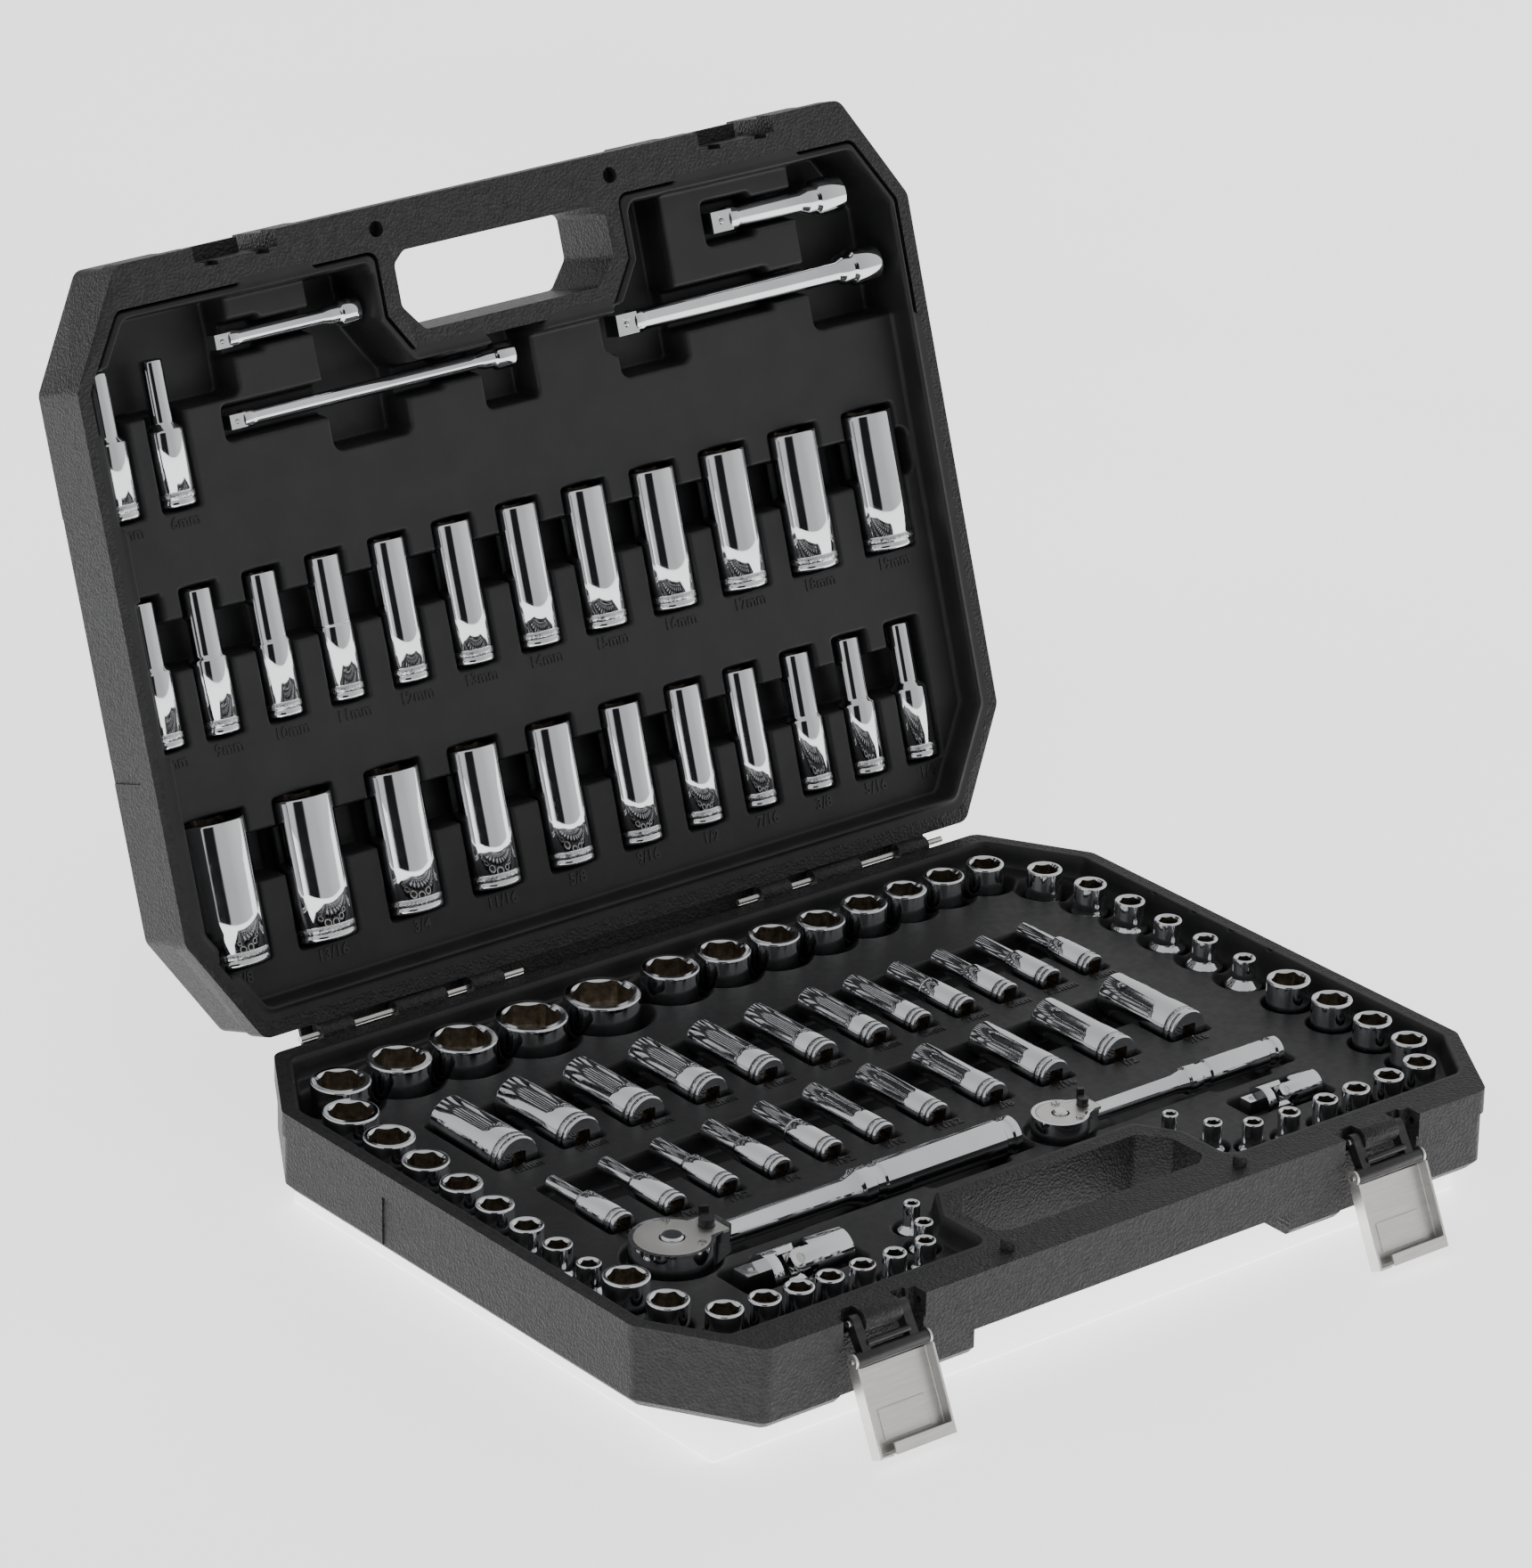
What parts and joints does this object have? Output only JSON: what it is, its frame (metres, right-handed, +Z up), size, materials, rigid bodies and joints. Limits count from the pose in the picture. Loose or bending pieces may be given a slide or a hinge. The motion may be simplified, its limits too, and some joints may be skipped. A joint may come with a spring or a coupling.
{
  "type": "socket wrench set in case",
  "caption": "Hinged two-half carrying case with moulded trays holding chrome sockets, two ratchets, extension bars and universal joints, closed by two draw latches.",
  "frame": {"origin": "middle of the underside of the bottom half", "axes": "+X along the hinge, from the viewer's left to right; +Y from the handle edge to the hinge; +Z up"},
  "size_m": [0.456, 0.5084, 0.3823],
  "materials": {
    "case_plastic": "satin black, pebble-grained outside",
    "tray_plastic": "satin black",
    "chrome": "polished chrome plate",
    "steel": "plain ground steel",
    "satin_steel": "satin pressed steel",
    "lever_plastic": "black moulded plastic"
  },
  "bodies": {
    "base": {"base_shell": "case_plastic", "base_tray_tools_left": "tray_plastic", "base_tray_tools_right": "tray_plastic", "base_tray_corner_left": "tray_plastic", "base_tray_corner_right": "tray_plastic", "base_tray_middle_left": "tray_plastic", "base_tray_middle_right": "tray_plastic", "base_tray_back_left": "tray_plastic", "base_tray_back_right": "tray_plastic", "hinge_pins": "steel", "latch_base_pins": "steel", "sockets_short_38_inch": "chrome", "sockets_short_38_metric": "chrome", "sockets_short_14_inch": "chrome", "sockets_short_14_metric": "chrome", "sockets_deep_14_inch": "chrome", "sockets_deep_14_metric": "chrome"},
    "lid": {"lid_shell": "case_plastic", "lid_tray": "tray_plastic", "sockets_deep_38_inch": "chrome", "sockets_deep_38_metric": "chrome"},
    "latch_link_left": {"latch_link_left": "lever_plastic", "latch_pin_left": "steel"},
    "latch_plate_left": {"latch_plate_left": "satin_steel"},
    "latch_link_right": {"latch_link_right": "lever_plastic", "latch_pin_right": "steel"},
    "latch_plate_right": {"latch_plate_right": "satin_steel"},
    "ratchet_38": {"ratchet_38_body": "chrome", "ratchet_38_cover": "satin_steel", "ratchet_38_screws": "steel", "ratchet_38_pawl": "steel"},
    "ratchet_38_drive": {"ratchet_38_drive": "steel", "ball_ratchet_38": "steel"},
    "ratchet_38_lever": {"ratchet_38_lever": "lever_plastic"},
    "ratchet_38_button": {"ratchet_38_button": "chrome"},
    "ratchet_14": {"ratchet_14_body": "chrome", "ratchet_14_cover": "satin_steel", "ratchet_14_screws": "steel", "ratchet_14_pawl": "steel"},
    "ratchet_14_drive": {"ratchet_14_drive": "steel", "ball_ratchet_14": "steel"},
    "ratchet_14_lever": {"ratchet_14_lever": "lever_plastic"},
    "ratchet_14_button": {"ratchet_14_button": "chrome"},
    "ujoint_38_drive_end": {"ujoint_38_drive_end": "chrome", "ball_ujoint_38": "steel"},
    "ujoint_38_cross": {"ujoint_38_cross": "steel"},
    "ujoint_38_socket_end": {"ujoint_38_socket_end": "chrome"},
    "ujoint_14_drive_end": {"ujoint_14_drive_end": "chrome", "ball_ujoint_14": "steel"},
    "ujoint_14_cross": {"ujoint_14_cross": "steel"},
    "ujoint_14_socket_end": {"ujoint_14_socket_end": "chrome"},
    "bar_38_long": {"bar_38_long": "chrome", "ball_bar_38_long": "steel"},
    "bar_38_short": {"bar_38_short": "chrome", "ball_bar_38_short": "steel"},
    "bar_14_long": {"bar_14_long": "chrome", "ball_bar_14_long": "steel"},
    "bar_14_short": {"bar_14_short": "chrome", "ball_bar_14_short": "steel"}
  },
  "joints": [
    {"name": "lid_hinge", "type": "hinge", "parent": "base", "child": "lid", "pos_m": [0, 0.1741, 0.038], "axis": [-1, 0, 0], "range_deg": [-108, 0]},
    {"name": "latch_link_left_pivot", "type": "hinge", "parent": "base", "child": "latch_link_left", "pos_m": [-0.137, -0.1645, 0.033], "axis": [-1, 0, 0], "range_deg": [0, 60]},
    {"name": "latch_plate_left_pivot", "type": "hinge", "parent": "latch_link_left", "child": "latch_plate_left", "pos_m": [-0.137, -0.1729, 0.021], "axis": [-1, 0, 0], "range_deg": [0, 130]},
    {"name": "latch_link_right_pivot", "type": "hinge", "parent": "base", "child": "latch_link_right", "pos_m": [0.137, -0.1645, 0.033], "axis": [-1, 0, 0], "range_deg": [0, 60]},
    {"name": "latch_plate_right_pivot", "type": "hinge", "parent": "latch_link_right", "child": "latch_plate_right", "pos_m": [0.137, -0.1729, 0.021], "axis": [-1, 0, 0], "range_deg": [0, 130]},
    {"name": "ratchet_38_lift_out", "type": "slide", "parent": "base", "child": "ratchet_38", "axis": [0, 0, 1], "range_m": [0, 0.06]},
    {"name": "ratchet_38_drive_spin", "type": "hinge", "parent": "ratchet_38", "child": "ratchet_38_drive", "pos_m": [-0.166, -0.068, 0.031], "axis": [0, 0, 1], "continuous": true},
    {"name": "ratchet_38_lever_flip", "type": "hinge", "parent": "ratchet_38", "child": "ratchet_38_lever", "pos_m": [-0.148, -0.068, 0.037], "axis": [0, 0, 1], "range_deg": [-124, 0]},
    {"name": "ratchet_38_button_press", "type": "slide", "parent": "ratchet_38_drive", "child": "ratchet_38_button", "axis": [0, 0, 1], "range_m": [-0.001, 0], "stiffness_N_per_m": 400, "springref_m": 0.0005},
    {"name": "ratchet_14_lift_out", "type": "slide", "parent": "base", "child": "ratchet_14", "axis": [0, 0, 1], "range_m": [0, 0.06]},
    {"name": "ratchet_14_drive_spin", "type": "hinge", "parent": "ratchet_14", "child": "ratchet_14_drive", "pos_m": [0.039, -0.074, 0.03], "axis": [0, 0, 1], "continuous": true},
    {"name": "ratchet_14_lever_flip", "type": "hinge", "parent": "ratchet_14", "child": "ratchet_14_lever", "pos_m": [0.0516, -0.074, 0.036], "axis": [0, 0, 1], "range_deg": [-124, 0]},
    {"name": "ratchet_14_button_press", "type": "slide", "parent": "ratchet_14_drive", "child": "ratchet_14_button", "axis": [0, 0, 1], "range_m": [-0.001, 0], "stiffness_N_per_m": 300, "springref_m": 0.0005},
    {"name": "ujoint_38_lift_out", "type": "slide", "parent": "base", "child": "ujoint_38_drive_end", "axis": [0, 0, 1], "range_m": [0, 0.05]},
    {"name": "ujoint_38_pin_a", "type": "hinge", "parent": "ujoint_38_drive_end", "child": "ujoint_38_cross", "pos_m": [-0.131, -0.102, 0.027], "axis": [0, -0.7071, -0.7071], "range_deg": [0, 30]},
    {"name": "ujoint_38_pin_b", "type": "hinge", "parent": "ujoint_38_cross", "child": "ujoint_38_socket_end", "pos_m": [-0.131, -0.102, 0.027], "axis": [0, -0.7071, 0.7071], "range_deg": [0, 30]},
    {"name": "ujoint_14_lift_out", "type": "slide", "parent": "base", "child": "ujoint_14_drive_end", "axis": [0, 0, 1], "range_m": [0, 0.05]},
    {"name": "ujoint_14_pin_a", "type": "hinge", "parent": "ujoint_14_drive_end", "child": "ujoint_14_cross", "pos_m": [0.137, -0.105, 0.028], "axis": [0, -0.7071, -0.7071], "range_deg": [0, 30]},
    {"name": "ujoint_14_pin_b", "type": "hinge", "parent": "ujoint_14_cross", "child": "ujoint_14_socket_end", "pos_m": [0.137, -0.105, 0.028], "axis": [0, -0.7071, 0.7071], "range_deg": [0, 30]},
    {"name": "bar_38_long_lift_out", "type": "slide", "parent": "lid", "child": "bar_38_long", "axis": [0, -0.9511, 0.309], "range_m": [0, 0.045]},
    {"name": "bar_38_short_lift_out", "type": "slide", "parent": "lid", "child": "bar_38_short", "axis": [0, -0.9511, 0.309], "range_m": [0, 0.045]},
    {"name": "bar_14_long_lift_out", "type": "slide", "parent": "lid", "child": "bar_14_long", "axis": [0, -0.9511, 0.309], "range_m": [0, 0.045]},
    {"name": "bar_14_short_lift_out", "type": "slide", "parent": "lid", "child": "bar_14_short", "axis": [0, -0.9511, 0.309], "range_m": [0, 0.045]}
  ]
}
